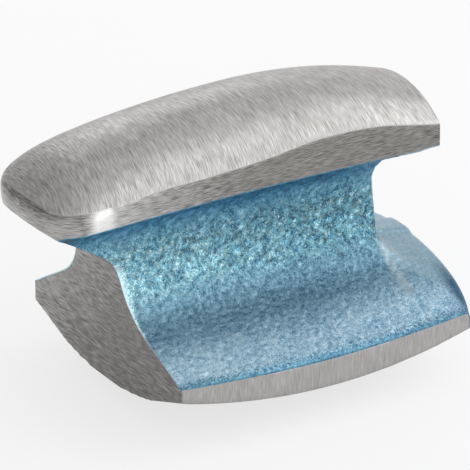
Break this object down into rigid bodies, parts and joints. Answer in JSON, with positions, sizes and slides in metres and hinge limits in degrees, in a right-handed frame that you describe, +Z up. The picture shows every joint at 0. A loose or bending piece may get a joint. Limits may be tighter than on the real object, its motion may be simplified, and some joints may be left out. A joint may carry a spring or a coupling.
{
  "type": "hand anvil",
  "caption": "Hand-held forged steel dolly of rail-like section: long crowned head with a rounded overhanging nose, narrow waisted web, wide crowned foot, blue lacquer in the hollows.",
  "frame": {"origin": "centre of the part's own box in plan, at the lowest point of the crowned foot", "axes": "+X along the head from the rounded nose to the square end, +Y from front to back, +Z up from foot to head"},
  "size_m": [0.0914, 0.0606, 0.0632],
  "materials": {
    "ground_steel": "fine ground, unpainted",
    "blue_lacquer": "thin glossy lacquer over rough forging"
  },
  "bodies": {
    "root": {"forged_body": "ground_steel", "lacquer_film": "blue_lacquer"}
  },
  "joints": []
}
